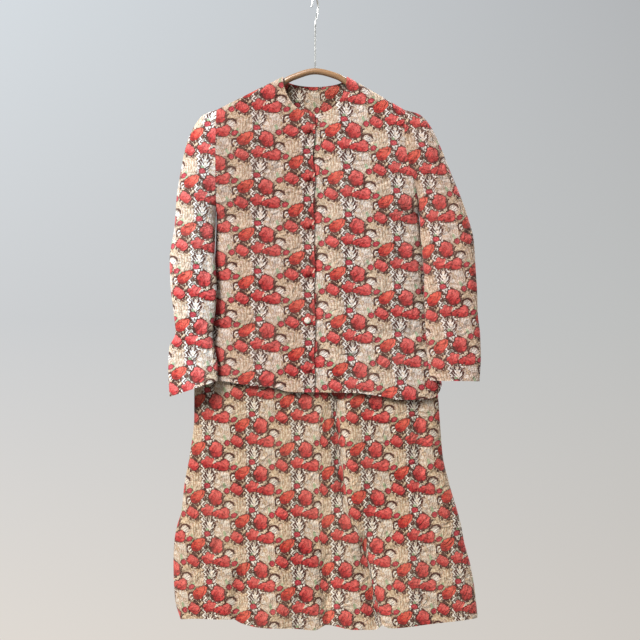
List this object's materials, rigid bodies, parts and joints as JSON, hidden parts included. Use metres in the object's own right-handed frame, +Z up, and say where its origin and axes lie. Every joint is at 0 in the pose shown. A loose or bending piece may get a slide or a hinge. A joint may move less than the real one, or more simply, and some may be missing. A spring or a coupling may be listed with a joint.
{
  "type": "dress with bolero on a hanger",
  "caption": "A-line dress under a matching hip-length button-front jacket with long sleeves, in floral print cotton, on a hanger with a wire hook",
  "frame": {"origin": "inside top of the hanger's wire hook, where it hangs", "axes": "+Z up, the garment's front faces -Y, +X to a viewer's right"},
  "size_m": [0.6704, 0.091, 1.367],
  "materials": {
    "dress_cloth": "plain-weave cotton, floral print in coral, beige and dark brown",
    "jacket_cloth": "plain-weave cotton, the same floral print",
    "button_cloth": "domed buttons covered in the same print",
    "hanger_wood": "clear varnish",
    "hook_wire": "plated wire"
  },
  "bodies": {
    "root": {"dress_front": "dress_cloth", "dress_back": "dress_cloth", "jacket_front_right": "jacket_cloth", "jacket_front_left": "jacket_cloth", "jacket_back": "jacket_cloth", "sleeve_right": "jacket_cloth", "sleeve_left": "jacket_cloth", "button_1": "button_cloth", "button_2": "button_cloth", "button_3": "button_cloth", "button_4": "button_cloth", "button_5": "button_cloth", "button_6": "button_cloth", "hanger_arm": "hanger_wood", "hook": "hook_wire"}
  },
  "joints": []
}
